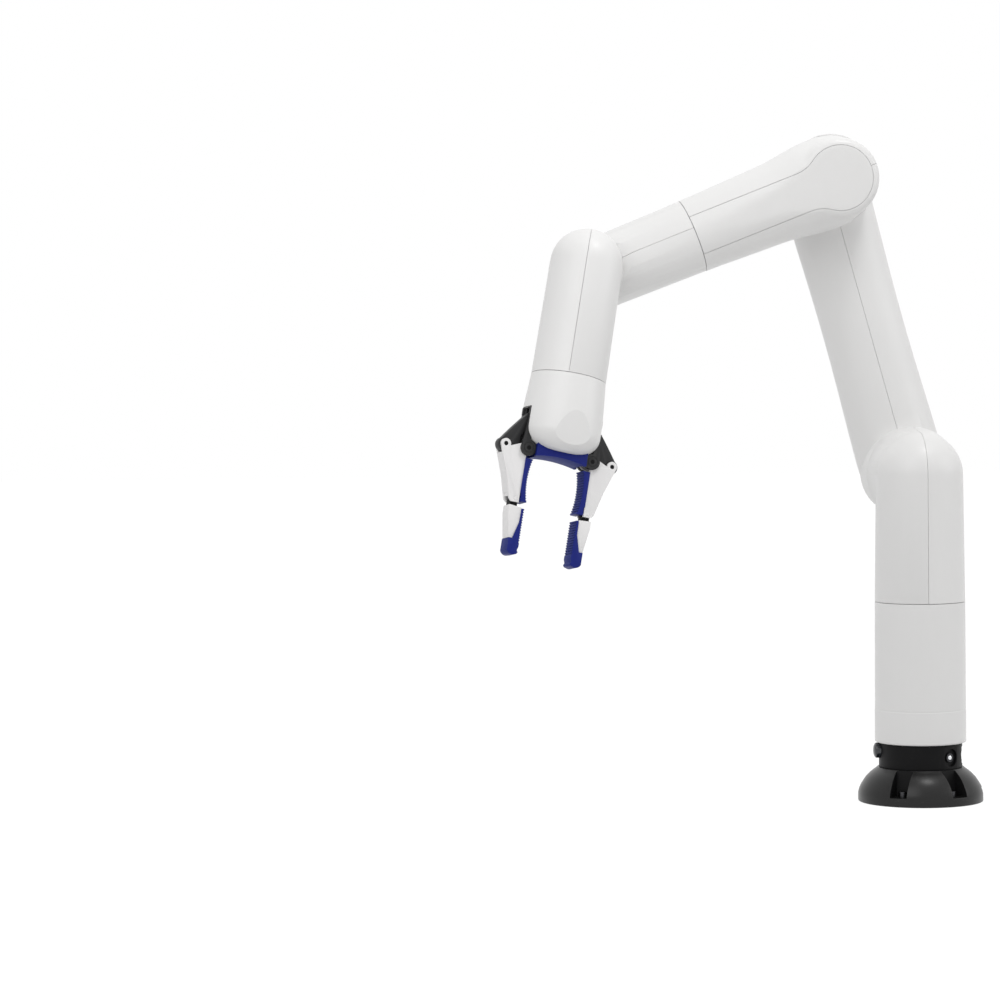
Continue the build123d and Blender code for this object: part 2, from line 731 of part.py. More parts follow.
pad_outline = ((pad_face - pin_play, pad_end), (pad_relief, pad_end), (pad_relief, pad_end - ear_radius),
               (pad_back, pad_end - ear_radius), (pad_back, pad_root), (pad_face - pin_play, pad_root))
plate_root = pad_face + bracket_depth
distal_outline = (
    (plate_root, slit_bottom + pin_play), (knuckle_spacing + ring_radius, slit_bottom),
    (knuckle_spacing + ring_radius, slit_bottom + ear_radius), (outer_tip_spacing, tip_plate_end),
    (pad_back + pin_play, tip_plate_end), (plate_root + slide_clearance, slit_bottom + 2 * ear_radius))
tip_end = pad_face + ring_radius
tip_notch = tip_height - knuckle_radius
tip_pad_outline = (
    (pad_face, tip_pad_root), (plate_root, tip_pad_root),
    (plate_root + slide_clearance, slit_bottom + 2 * ear_radius),
    (pad_back + pin_play, tip_plate_end), (outer_tip_spacing, tip_plate_end), (outer_tip_spacing, tip_notch))
tip_pad_face = (
    (tip_end, tip_height), (pad_face + notch_depth, tip_height - notch_depth),
    (pad_face, tip_notch + notch_depth), (pad_face + notch_depth, tip_notch - notch_depth),
    (pad_face, tip_notch - 2 * pin_radius), (pad_face, tip_pad_root))
for side, label in ((1, "left"), (-1, "right")):
    pivot = (side * pivot_spacing, pivot_height)
    ring = (side * ring_spacing, pivot_height)
    knuckle = (side * knuckle_spacing, knuckle_height)

    with BuildPart() as bracket:
        for ear_start in (ear_inner, -bracket_half_width):
            with BuildSketch(hand_plane(ear_start)):
                with BuildLine():
                    Polyline(*[(side * across, along) for across, along in bracket_outline], close=True)
                make_face()
                with Locations(pivot):
                    Circle(ear_radius)
                    Circle(pin_radius, mode=Mode.SUBTRACT)
            extrude(amount=ear_thickness)
        with BuildSketch(hand_plane(-bracket_half_width)):
            with Locations((side * bracket_face, (bracket_top + pivot_height - hub_radius) / 2)):
                Rectangle(bracket_depth, pivot_height - hub_radius - 2 * slide_clearance - bracket_top)
        extrude(amount=2 * bracket_half_width)
        with BuildSketch(hand_plane(-slot_half_width)):
            with Locations((side * bracket_face, (bracket_top - wall + slot_end) / 2)):
                Rectangle(2 * bracket_depth, slot_end - bracket_top + wall)
        extrude(amount=2 * slot_half_width, mode=Mode.SUBTRACT)
    save(bracket.part, f"{label}_bracket")

    with BuildPart() as push_link:
        with BuildSketch(hand_plane(-link_half_width)):
            with BuildLine():
                Polyline(*[(side * across, along) for across, along in link_outline])
                ThreePointArc(*[(side * across, along) for across, along in
                                (link_outline[-1], link_outer_middle, link_outer_end)])
                Polyline(*[(side * across, along) for across, along in (link_outer_end,) + link_lower_edge])
            make_face()
            with Locations(ring):
                Circle(link_end_radius)
            with Locations((side * (ring_spacing - pin_play), pivot_height)):
                SlotOverall(2 * (pin_radius + pin_play + slide_clearance), 2 * (pin_radius + slide_clearance),
                            mode=Mode.SUBTRACT)
        extrude(amount=2 * link_half_width)
    save(push_link.part, f"{label}_push_link")

    with BuildPart() as proximal:
        with BuildSketch(hand_plane(-finger_half_width)):
            with BuildLine():
                Polyline(*[(side * across, along) for across, along in proximal_outline], close=True)
            make_face()
            with Locations(pivot):
                Circle(hub_radius)
            with Locations(ring):
                Circle(ring_radius)
            with Locations(pivot, ring, knuckle):
                Circle(pin_radius, mode=Mode.SUBTRACT)
        extrude(amount=2 * finger_half_width)
        with BuildSketch(hand_plane(-slot_half_width)):
            with Locations((side * ring_spacing, pivot_height + hub_radius)):
                Rectangle(2 * ring_spacing, 2 * palm_half_width + ring_radius)
            with Locations((side * (pad_relief + knuckle_spacing), knuckle_height + knuckle_radius)):
                Rectangle(2 * knuckle_spacing, 2 * (ear_radius + pin_play))
        extrude(amount=2 * slot_half_width, mode=Mode.SUBTRACT)
    save(proximal.part, f"{label}_proximal_link")

    with BuildPart() as proximal_pad:
        with BuildSketch(hand_plane(-pad_half_width)):
            with BuildLine():
                Polyline(*[(side * across, along) for across, along in pad_outline])
                ThreePointArc((side * (pad_face - pin_play), pad_root),
                              (side * (pad_face + pad_hollow), (pad_root + pad_end) / 2),
                              (side * (pad_face - pin_play), pad_end))
            make_face()
        extrude(amount=2 * pad_half_width)
    save(proximal_pad.part, f"{label}_proximal_pad")

    with BuildPart() as distal:
        with BuildSketch(hand_plane(-finger_half_width)):
            with BuildLine():
                Polyline(*[(side * across, along) for across, along in distal_outline], close=True)
            make_face()
        extrude(amount=2 * finger_half_width)
        with BuildSketch(hand_plane(-link_half_width)):
            with Locations((side * knuckle_spacing, (knuckle_height + tip_pad_root) / 2)):
                Rectangle(2 * knuckle_radius, tip_pad_root - knuckle_height)
            with Locations(knuckle):
                Circle(knuckle_radius)
                Circle(pin_radius + shaft_clearance, mode=Mode.SUBTRACT)
        extrude(amount=2 * link_half_width)
    save(distal.part, f"{label}_distal_link")

    with BuildPart() as distal_pad:
        with BuildSketch(hand_plane(-pad_half_width)):
            with BuildLine():
                Polyline(*[(side * across, along) for across, along in tip_pad_outline])
                ThreePointArc((side * outer_tip_spacing, tip_notch),
                              (side * (outer_tip_spacing - pin_radius), tip_height - notch_depth),
                              (side * tip_end, tip_height))
                Polyline(*[(side * across, along) for across, along in tip_pad_face])
            make_face()
        extrude(amount=2 * pad_half_width)
    save(distal_pad.part, f"{label}_distal_pad")

    with BuildPart() as pivot_pin:
        with BuildSketch(hand_plane(-bracket_half_width)):
            with Locations(pivot):
                Circle(pin_fit)
        extrude(amount=2 * bracket_half_width)
    save(pivot_pin.part, f"{label}_pivot_pin")

    with BuildPart() as finger_pins:
        with BuildSketch(hand_plane(-finger_half_width)):
            with Locations(ring, knuckle):
                Circle(pin_fit)
        extrude(amount=2 * finger_half_width)
    save(finger_pins.part, f"{label}_finger_pins")
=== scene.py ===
"""Desk robot arm with a two-finger gripper, dressed for its studio picture. Metres, +Z up."""

from math import acos, atan, cos, degrees, pi, radians, sin, sqrt

import bpy
from mathutils import Matrix, Vector


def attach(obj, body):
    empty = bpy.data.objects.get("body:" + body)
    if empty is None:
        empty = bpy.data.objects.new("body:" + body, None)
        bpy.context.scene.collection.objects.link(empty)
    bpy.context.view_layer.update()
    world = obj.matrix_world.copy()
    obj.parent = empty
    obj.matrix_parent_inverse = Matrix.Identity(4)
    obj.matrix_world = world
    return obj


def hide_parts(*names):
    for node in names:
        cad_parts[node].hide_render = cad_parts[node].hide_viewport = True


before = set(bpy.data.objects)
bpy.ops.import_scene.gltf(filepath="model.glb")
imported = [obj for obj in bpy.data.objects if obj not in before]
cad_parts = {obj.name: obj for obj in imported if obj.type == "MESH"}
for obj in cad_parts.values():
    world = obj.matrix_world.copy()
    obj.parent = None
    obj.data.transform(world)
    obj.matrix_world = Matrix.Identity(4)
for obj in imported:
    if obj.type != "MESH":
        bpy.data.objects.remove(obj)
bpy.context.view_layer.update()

# Sizes shared with the part's source, in millimetres
MM = 0.001
wall = 3.0
joint_gap = 0.5
shell_seam = 0.3
lip = 0.5
rest = (182.2, -15.6, 95.7, 103.3, 58.8, -21.6)
shoulder_rise, shoulder_reach = 115.0, 30.0
upper_arm_length, upper_arm_offset, arm_half_depth = 280.0, 46.0, 30.0
forearm_length, forearm_offset, elbow_face_height = 140.0, 20.0, 55.0
wrist_length, wrist_offset, hand_length = 105.0, 28.5, 68.0
mount_height, base_height, flange_height = 54.25, 128.25, 31.2


# Places of the links at rest
def move(x, y, z):
    return Matrix.Translation(Vector((x, y, z)) * MM)


def turn(axis, angle):
    return Matrix.Rotation(radians(angle), 4, axis)


def facing_side(angle, height):
    """Place on the base's axis whose Z points outwards, at an angle counted from the front."""
    return turn("Z", angle) @ move(0, 0, height) @ turn("X", 90)


upright = Matrix.Identity(4)
waist = move(0, 0, mount_height + base_height) @ turn("Z", rest[0])
upper_arm = waist @ move(0, -shoulder_reach, shoulder_rise) @ turn("X", 90) @ turn("Z", rest[1])
elbow = upper_arm @ move(0, upper_arm_length, 0) @ turn("X", 180) @ turn("Z", rest[2])
roll = elbow @ move(0, -forearm_length, forearm_offset) @ turn("X", 90) @ turn("Z", rest[3])
bend = roll @ move(wrist_offset, 0, wrist_length) @ turn("Y", 90) @ turn("Z", rest[4])
hand = bend @ move(-wrist_length, 0, wrist_offset) @ turn("Y", -90) @ turn("Z", rest[5])


# Camera at the photograph's place
camera_data = bpy.data.cameras.new("camera")
camera_data.lens = 134.8
camera_data.sensor_width = 36.0
camera_data.shift_x = 0.0532
camera_data.shift_y = -0.0264
camera_data.clip_end = 100.0
camera = bpy.data.objects.new("camera", camera_data)
bpy.context.collection.objects.link(camera)
camera.matrix_world = move(-537.2, -3391.7, 445) @ turn("Z", -1.8) @ turn("X", 90 - 2.39) @ turn("Z", -0.53)
bpy.context.scene.camera = camera
bpy.context.scene.view_settings.view_transform = "Standard"


# Modelling helpers
def only(piece):
    """Select and activate one piece and nothing else."""
    bpy.ops.object.select_all(action="DESELECT")
    piece.select_set(True)
    bpy.context.view_layer.objects.active = piece


def settle(piece, place):
    """Put a piece modelled at the origin in its link's place, with the place in its mesh."""
    piece.matrix_world = place
    only(piece)
    bpy.ops.object.transform_apply(location=True, rotation=True, scale=True)
    return piece


def turned(name, stations, place, segments=120):
    """Round or oval form: a disc is extruded and scaled at each station (height, x radius, y radius)."""
    stations = [tuple(v * MM for v in (s if len(s) == 3 else (s[0], s[1], s[1]))) for s in stations]
    height, across, deep = stations[0]
    bpy.ops.object.select_all(action="DESELECT")
    bpy.ops.mesh.primitive_circle_add(vertices=segments, radius=1.0, fill_type="NGON", location=(0, 0, height),
                                      rotation=(0, 0, pi / segments))
    piece = bpy.context.object
    piece.name = name
    bpy.ops.object.transform_apply(location=True, rotation=True, scale=False)
    bpy.ops.object.mode_set(mode="EDIT")
    bpy.ops.mesh.select_all(action="SELECT")
    bpy.ops.transform.resize(value=(across, deep, 1.0), center_override=(0, 0, height))
    for next_height, next_across, next_deep in stations[1:]:
        bpy.ops.mesh.extrude_region_move(TRANSFORM_OT_translate={"value": (0, 0, next_height - height)})
        bpy.ops.transform.resize(value=(next_across / across, next_deep / deep, 1.0),
                                 center_override=(0, 0, next_height))
        height, across, deep = next_height, next_across, next_deep
    bpy.ops.mesh.select_all(action="SELECT")
    bpy.ops.mesh.normals_make_consistent(inside=False)
    bpy.ops.object.mode_set(mode="OBJECT")
    return settle(piece, place)


def block(name, low, high, place):
    """Plain box between two corners, used only to cut or to fill."""
    low, high = Vector(low) * MM, Vector(high) * MM
    bpy.ops.object.select_all(action="DESELECT")
    bpy.ops.mesh.primitive_cube_add(size=1.0)
    piece = bpy.context.object
    piece.name = name
    piece.scale = high - low
    piece.location = (low + high) / 2
    bpy.ops.object.transform_apply(location=True, rotation=False, scale=True)
    return settle(piece, place)


def combine(piece, operation, *others):
    """Union, difference or intersection with other pieces, which are used up."""
    for other in others:
        only(piece)
        boolean = piece.modifiers.new("boolean", "BOOLEAN")
        boolean.operation = operation
        boolean.solver = "EXACT"
        boolean.object = other
        bpy.ops.object.modifier_apply(modifier=boolean.name)
        bpy.data.objects.remove(other)
    return piece


def copied(piece, name):
    """Copy with its own mesh."""
    twin = piece.copy()
    twin.data = piece.data.copy()
    twin.name = name
    bpy.context.collection.objects.link(twin)
    return twin


def finished(piece, body, finish, nodes, edge=lip, angle=35):
    """Rounded edges, smooth shading, material, body and the nodes it stands for."""
    only(piece)
    bpy.ops.object.mode_set(mode="EDIT")
    bpy.ops.mesh.select_all(action="SELECT")
    bpy.ops.mesh.remove_doubles(threshold=0.00001)
    bpy.ops.mesh.dissolve_degenerate(threshold=0.000002)
    bpy.ops.mesh.delete_loose(use_verts=True, use_edges=True, use_faces=False)
    bpy.ops.object.mode_set(mode="OBJECT")
    if edge:
        bevel = piece.modifiers.new("edges", "BEVEL")
        bevel.width = edge * MM
        bevel.segments = 2
        bevel.limit_method = "ANGLE"
        bevel.angle_limit = radians(angle)
        bevel.harden_normals = False
        bpy.ops.object.modifier_apply(modifier=bevel.name)
    bpy.ops.object.shade_smooth_by_angle(angle=radians(angle))
    piece.data.materials.clear()
    piece.data.materials.append(finish)
    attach(piece, body)
    if nodes:
        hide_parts(*nodes)
    return piece


def merged_copy(node, name):
    """Copy of a CAD node with its loose triangles joined, to be finished further."""
    twin = copied(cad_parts[node], name)
    twin.parent = None
    twin.matrix_world = Matrix.Identity(4)
    only(twin)
    bpy.ops.object.mode_set(mode="EDIT")
    bpy.ops.mesh.select_all(action="SELECT")
    bpy.ops.mesh.remove_doubles(threshold=0.00001)
    bpy.ops.mesh.dissolve_limited(angle_limit=radians(1))
    bpy.ops.object.mode_set(mode="OBJECT")
    return twin


def softened(piece, voxel, passes):
    """Even mesh whose hard creases are blended away, then thinned out."""
    only(piece)
    even = piece.modifiers.new("even", "REMESH")
    even.mode = "VOXEL"
    even.voxel_size = voxel * MM
    bpy.ops.object.modifier_apply(modifier=even.name)
    smooth = piece.modifiers.new("smooth", "SMOOTH")
    smooth.factor = 0.5
    smooth.iterations = passes
    bpy.ops.object.modifier_apply(modifier=smooth.name)
    thin = piece.modifiers.new("thin", "DECIMATE")
    thin.ratio = 0.4
    bpy.ops.object.modifier_apply(modifier=thin.name)
    return piece


def painted(piece, finish, place, chosen):
    """Give a second finish to the faces whose centre, in a link's own millimetres, is chosen."""
    piece.data.materials.append(finish)
    inverse = place.inverted()
    turned_back = inverse.to_3x3()
    for face in piece.data.polygons:
        if chosen(inverse @ face.center / MM, turned_back @ face.normal):
            face.material_index = len(piece.data.materials) - 1
    return piece


def joined(name, pieces):
    """One object made of several separate closed forms."""
    bpy.ops.object.select_all(action="DESELECT")
    for piece in pieces:
        piece.select_set(True)
    bpy.context.view_layer.objects.active = pieces[0]
    if len(pieces) > 1:
        bpy.ops.object.join()
    pieces[0].name = name
    return pieces[0]


def dome(height, radius, rise, steps=20, stop=0.4):
    """Stations of a quarter round that closes a form."""
    last = acos(min(1.0, stop / radius))
    angles = [last * step / steps for step in range(1, steps + 1)]
    return [(height + rise * sin(angle), radius * cos(angle)) for angle in angles]


# Materials
class Value:
    """A number that varies over a surface. Arithmetic on it adds Math nodes."""

    def __init__(self, tree, socket):
        self.tree, self.socket = tree, socket

    def _math(self, operation, first, second):
        node = self.tree.nodes.new("ShaderNodeMath")
        node.operation = operation
        for slot, item in zip(node.inputs, (first, second)):
            if isinstance(item, Value):
                self.tree.links.new(item.socket, slot)
            else:
                slot.default_value = item
        return Value(self.tree, node.outputs[0])

    def __add__(self, other):
        return self._math("ADD", self, other)

    def __mul__(self, other):
        return self._math("MULTIPLY", self, other)

    __radd__ = __add__
    __rmul__ = __mul__

    def power(self, other):
        return self._math("POWER", self, other)

    def at_most(self, other):
        return self._math("MINIMUM", self, other)

    def at_least(self, other):
        return self._math("MAXIMUM", self, other)


class Finish:
    """One surface finish: a principled shader and the nodes that vary it."""

    def __init__(self, name, colour, roughness, metallic=0.0, coat=0.0, specular=0.5):
        self.material = bpy.data.materials.new(name)
        self.material.use_nodes = True
        self.tree = self.material.node_tree
        self.shader = self.tree.nodes["Principled BSDF"]
        self.shader.inputs["Base Color"].default_value = (*colour, 1.0)
        self.shader.inputs["Roughness"].default_value = roughness
        self.shader.inputs["Metallic"].default_value = metallic
        self.shader.inputs["Coat Weight"].default_value = coat
        self.shader.inputs["Coat Roughness"].default_value = 0.12
        self.shader.inputs["Specular IOR Level"].default_value = specular
        self.colour = colour
        self.place = self.node("ShaderNodeTexCoord").outputs["Object"]

    def node(self, kind, settings=None, **sockets):
        """Add a node: its settings first, then the values or links of its sockets."""
        node = self.tree.nodes.new(kind)
        for key, value in (settings or {}).items():
            setattr(node, key, value)
        for key, value in sockets.items():
            slot = node.inputs[key.replace("_", " ")]
            if isinstance(value, Value):
                self.tree.links.new(value.socket, slot)
            elif isinstance(value, bpy.types.NodeSocket):
                self.tree.links.new(value, slot)
            else:
                slot.default_value = value
        return node

    def noise(self, scale, detail):
        """Cloudy pattern on the object's own coordinates."""
        node = self.node("ShaderNodeTexNoise", Vector=self.place, Scale=scale, Detail=detail)
        return Value(self.tree, node.outputs["Fac"])

    def feed(self, socket, value):
        """Drive one of the shader's sockets."""
        source = value.socket if isinstance(value, Value) else value
        self.tree.links.new(source, self.shader.inputs[socket])

    def shade(self, mask, colour):
        """Blend the base colour towards another where the mask is high."""
        mix = self.node("ShaderNodeMix", {"data_type": "RGBA"})
        self.tree.links.new(mask.socket, mix.inputs[0])
        mix.inputs[6].default_value = (*self.colour, 1.0)
        mix.inputs[7].default_value = (*colour, 1.0)
        self.feed("Base Color", mix.outputs[2])

    def bump(self, height, distance, strength):
        """Raise the surface by a fine pattern."""
        node = self.node("ShaderNodeBump", Height=height, Strength=strength, Distance=distance)
        self.feed("Normal", node.outputs["Normal"])


def moulded(name, colour, shade, roughness, grain=0.00002, coat=0.0, specular=0.5):
    """Moulded or painted surface: fine orange peel, faint clouding and uneven gloss."""
    finish = Finish(name, colour, roughness, coat=coat, specular=specular)
    clouds = finish.noise(14.0, 3.0)
    peel = finish.noise(1500.0, 1.0)
    finish.feed("Roughness", clouds * 0.1 + (roughness - 0.05))
    finish.shade(clouds.power(2.0), shade)
    finish.bump(peel, grain, 0.6)
    return finish.material


def rubber(name, colour, shade, roughness, specular):
    """Soft rubber: fine grain with a little dust in it."""
    finish = Finish(name, colour, roughness, specular=specular)
    dust = finish.noise(900.0, 2.0)
    clouds = finish.noise(60.0, 2.0)
    finish.shade((dust * 0.35 + clouds * 0.25).at_most(1.0), shade)
    finish.feed("Roughness", dust * 0.12 + (roughness - 0.06))
    finish.bump(dust, 0.00004, 0.6)
    return finish.material


def machined(name, colour, roughness):
    """Turned metal: fine tool lines that change its gloss."""
    finish = Finish(name, colour, roughness, metallic=1.0)
    lines = finish.noise(700.0, 3.0)
    finish.feed("Roughness", lines * 0.2 + (roughness - 0.1))
    finish.shade(lines * 0.4, tuple(c * 0.75 for c in colour))
    finish.bump(lines, 0.00001, 0.5)
    return finish.material


white = moulded("satin_white_shell", (0.80, 0.796, 0.79), (0.775, 0.77, 0.764), 0.45, coat=0.08)
cheek = moulded("finger_white", (0.82, 0.81, 0.81), (0.79, 0.78, 0.78), 0.38)
dark = moulded("foot_dark_grey", (0.009, 0.009, 0.009), (0.016, 0.0155, 0.0155), 0.3, grain=0.00004,
               specular=0.3)
black = moulded("neck_black", (0.004, 0.004, 0.0045), (0.007, 0.007, 0.007), 0.5, grain=0.00004, specular=0.12)
charcoal = moulded("charcoal_plastic", (0.018, 0.018, 0.019), (0.03, 0.03, 0.031), 0.5, grain=0.00004,
                   specular=0.3)
blue = rubber("soft_blue_pad", (0.003, 0.010, 0.165), (0.008, 0.018, 0.19), 0.5, 0.25)
# Lighter blue for the grip faces: painted sheen where the ribs catch light, with some dust in it
grip_blue_dust_and_sheen = rubber("blue_ribs_dust_and_painted_sheen", (0.012, 0.022, 0.17), (0.045, 0.06, 0.22), 0.6, 0.12)
screw_grey = machined("dark_screw_steel", (0.07, 0.07, 0.075), 0.35)
steel = machined("turned_steel", (0.55, 0.55, 0.56), 0.3)
aluminium = machined("turned_aluminium", (0.72, 0.72, 0.73), 0.35)
chrome = machined("polished_dome", (0.75, 0.76, 0.78), 0.12)
glossy_black = moulded("button_black", (0.012, 0.015, 0.02), (0.016, 0.02, 0.026), 0.2, coat=0.4)


# Bent links: a tube with a ball at its knee and a collar out to the next joint
def bent_form(name, place, length, reach, radii, inset):
    """Form of a bent link. Radii: foot, knee, collar, and the room for the next link around the collar."""
    foot_radius, knee_radius, collar_radius = (radius - inset for radius in radii[:3])
    start = joint_gap / 2 - inset
    end = reach - joint_gap / 2 + inset
    outwards = place @ move(0, 0, length) @ turn("Y", 90)
    knee = dome(length, knee_radius, knee_radius)
    tube = turned(name, [(start, foot_radius), (length, knee_radius)] + knee, place)
    face = reach - joint_gap / 2 - inset
    room, flare = radii[3] + inset, 2.5
    recess = turned("recess", [(face, room), (face + reach, room + flare * reach)], outwards)
    combine(tube, "DIFFERENCE", recess)
    return combine(tube, "UNION", turned("collar", [(0, knee_radius), (end, collar_radius)], outwards))


def half_shells(names, outer, inner, body, nodes, place, seam):
    """Cut the outer form into two halves across one axis of its link, and hollow each."""
    far = 400.0
    for name, node, side in zip(names, nodes, (1, -1)):
        low, high = [-far] * 3, [far] * 3
        if side > 0:
            high[seam] = shell_seam / 2
        else:
            low[seam] = -shell_seam / 2
        half = combine(copied(outer, name), "DIFFERENCE", block("cutter", low, high, place),
                       copied(inner, "inside"))
        finished(half, body, white, [node])
    bpy.data.objects.remove(outer)
    bpy.data.objects.remove(inner)


waist_link = waist @ turn("Z", -90)
shoulder_radii = (41.0, 39.5, 43.0, 43.5)
half_shells(("shoulder_half_left", "shoulder_half_right"),
            bent_form("shoulder", waist_link, shoulder_rise, shoulder_reach, shoulder_radii, 0),
            bent_form("shoulder_inside", waist_link, shoulder_rise, shoulder_reach, shoulder_radii, wall),
            "shoulder", ("shoulder_shell_left", "shoulder_shell_right"), waist_link, 1)

wrist_radii = (33.8, 32.4, 33.4, 35.1)
half_shells(("wrist_half_upper", "wrist_half_lower"),
            bent_form("wrist", roll, wrist_length, wrist_offset, wrist_radii, 0),
            bent_form("wrist_inside", roll, wrist_length, wrist_offset, wrist_radii, wall),
            "wrist", ("wrist_shell_upper", "wrist_shell_lower"), roll, 1)

hand_link = bend @ move(-wrist_length, 0, wrist_offset) @ turn("Y", 90)
hand_radii = (33.4, 32.4, 33.4, 35.1)
half_shells(("hand_link_half_left", "hand_link_half_right"),
            bent_form("hand_link", hand_link, wrist_length, wrist_offset, hand_radii, 0),
            bent_form("hand_link_inside", hand_link, wrist_length, wrist_offset, hand_radii, wall),
            "hand_link", ("hand_link_shell_left", "hand_link_shell_right"), hand_link, 1)


# Upper arm: two pods joined by an oval tube with a narrow middle
shoulder_pod_radius, elbow_pod_radius, arm_pod_radius = 43.0, 42.0, 40.4
arm_narrow, arm_swell, arm_end_taper = 37.9, 2.3, 0.6


def upper_arm_form(name, inset):
    along = upper_arm @ move(0, 0, upper_arm_offset) @ turn("X", -90)
    steps = 16
    stations = []
    for share in (step / steps for step in range(steps + 1)):
        width = arm_narrow + arm_swell * abs(cos(pi * share)) ** 2.2 - arm_end_taper * abs(2 * share - 1) ** 10
        stations.append((upper_arm_length * share, width - inset, arm_half_depth - 0.5 - inset))
    tube = turned(name, stations, along)
    for height, collar in ((0, shoulder_pod_radius), (upper_arm_length, elbow_pod_radius)):
        radius = arm_pod_radius - inset
        pod = [(joint_gap / 2 - inset, collar - inset), (upper_arm_offset, radius)]
        pod += dome(upper_arm_offset, radius, arm_half_depth - inset)
        combine(tube, "UNION", turned("pod", pod, upper_arm @ move(0, height, 0)))
    return tube


half_shells(("upper_arm_half_left", "upper_arm_half_right"),
            upper_arm_form("upper_arm", 0), upper_arm_form("upper_arm_inside", wall),
            "upper_arm", ("upper_arm_shell_left", "upper_arm_shell_right"), upper_arm, 0)


# Forearm: flat-faced pod, flared tube and a keyhole cover let into the flat face
pod_face_round = 7.0
cover_radius, cover_half_width, cover_bend_radius = 29.5, 17.8, 32.0
forearm_widths = ((0, 42.0), (12, 42.0), (18, 41.8), (24, 41.4), (30, 40.8), (36, 39.9), (42, 39.0),
                  (48, 38.1), (55, 37.3), (62, 36.8), (70, 36.4), (80, 36.2), (95, 35.7), (110, 35.1),
                  (125, 34.5))
forearm_end_radius = 34.0
blend_voxel, blend_passes, blend_spare = 1.5, 30, 10.0


def forearm_form(name, inset):
    """Outline of the forearm. The outer one is blended before its joint faces are cut."""
    spare = 0 if inset else blend_spare
    face = elbow_face_height - inset
    end = forearm_length - joint_gap / 2 + inset
    along = elbow @ move(0, 0, forearm_offset) @ turn("X", 90)
    stations = [(height, radius - inset) for height, radius in forearm_widths]
    tube = turned(name, stations + [(end + spare, forearm_end_radius - inset)], along)
    combine(tube, "DIFFERENCE", block("face", (-100, -200, face), (100, 100, face + 60), elbow))
    back = elbow @ move(0, 0, forearm_offset) @ turn("Y", 180)
    near = forearm_offset - joint_gap / 2 - inset
    clear = elbow_pod_radius + joint_gap + inset
    recess = turned("recess", [(near, clear), (60, clear)], back)
    corner = [(pod_face_round * sin(pi / 2 * i / 8), pod_face_round * cos(pi / 2 * i / 8)) for i in range(9)]
    pod = [(joint_gap / 2 - inset - spare, elbow_pod_radius - inset)]
    pod += [(face - pod_face_round + up, cover_radius - inset + out) for up, out in corner]
    pod = turned("pod", pod, elbow)
    if inset:
        return combine(combine(tube, "DIFFERENCE", recess), "UNION", pod)
    softened(combine(tube, "UNION", pod), blend_voxel, blend_passes)
    return combine(tube, "DIFFERENCE", recess, block("end", (-60, -160, -60), (60, -end, 90), elbow))


def keyhole(name, grow):
    """Column with the cover's outline: a circle, a bar and the hollow rounds between them."""
    radius, half, bend_radius = cover_radius + grow, cover_half_width + grow, cover_bend_radius
    top = 90.0
    centre_y = half + bend_radius
    centre_x = sqrt((radius + bend_radius) ** 2 - centre_y ** 2)
    touch = radius / (radius + bend_radius)
    column = turned(name, [(0, radius), (top, radius)], elbow)
    combine(column, "UNION", block("bar", (-half, -forearm_length - 5, 0), (half, 0, top), elbow))
    for side in (1, -1):
        edges = sorted((side * (half - 3), side * centre_y * touch))
        fill = block("fill", (edges[0], -centre_x, 0.01), (edges[1], -centre_x * touch + 3, top - 0.01), elbow)
        hollow = turned("hollow", [(-5, bend_radius), (top + 5, bend_radius)],
                        elbow @ move(side * centre_y, -centre_x, 0))
        combine(fill, "DIFFERENCE", hollow)
        combine(column, "UNION", fill)
    return combine(column, "DIFFERENCE", block("lower", (-60, -200, -1), (60, 60, forearm_offset), elbow))


forearm = forearm_form("forearm", 0)
forearm_inside = forearm_form("forearm_inside", wall)
cover = combine(copied(forearm, "forearm_front_cover"), "DIFFERENCE", copied(forearm_inside, "inside"))
combine(cover, "INTERSECT", keyhole("cover_outline", 0))
finished(cover, "forearm", white, ["forearm_cover"])
for name, node, low, high in (("forearm_half_lower", "forearm_shell_lower", -100, shell_seam / 2),
                              ("forearm_half_upper", "forearm_shell_upper", -shell_seam / 2, 100)):
    cutter = block("cutter", (low, -200, -100), (high, 100, 100), elbow)
    half = combine(copied(forearm, name), "DIFFERENCE", cutter, copied(forearm_inside, "inside"),
                   keyhole("cover_opening", shell_seam))
    finished(half, "forearm", white, [node])
bpy.data.objects.remove(forearm)
bpy.data.objects.remove(forearm_inside)


# Base shell with its ring line and rounded lip
ring_line = mount_height + 30.0
base_top = mount_height + base_height - joint_gap / 2
base_hollow_radius, base_bore_radius = 38.0, 33.0
base_profile = [(mount_height, 40.5), (mount_height + 0.4, 41.2), (mount_height + 1.2, 41.5),
                (mount_height + 2.0, 41.5), (ring_line - 1.2, 41.5), (ring_line - 0.4, 41.45),
                (ring_line, 41.15), (ring_line + 0.5, 41.3), (ring_line + 1.2, 41.35),
                (ring_line + 2.0, 41.34), (base_top - 0.8, 41.0), (base_top, 41.0)]
base = turned("base_tower", base_profile, upright, 192)
combine(base, "DIFFERENCE",
        turned("hollow", [(mount_height + wall, base_hollow_radius), (base_top + 5, base_hollow_radius)],
               upright),
        turned("bore", [(mount_height - 5, base_bore_radius), (mount_height + 10, base_bore_radius)], upright))
finished(base, "base", white, ["base_shell"])


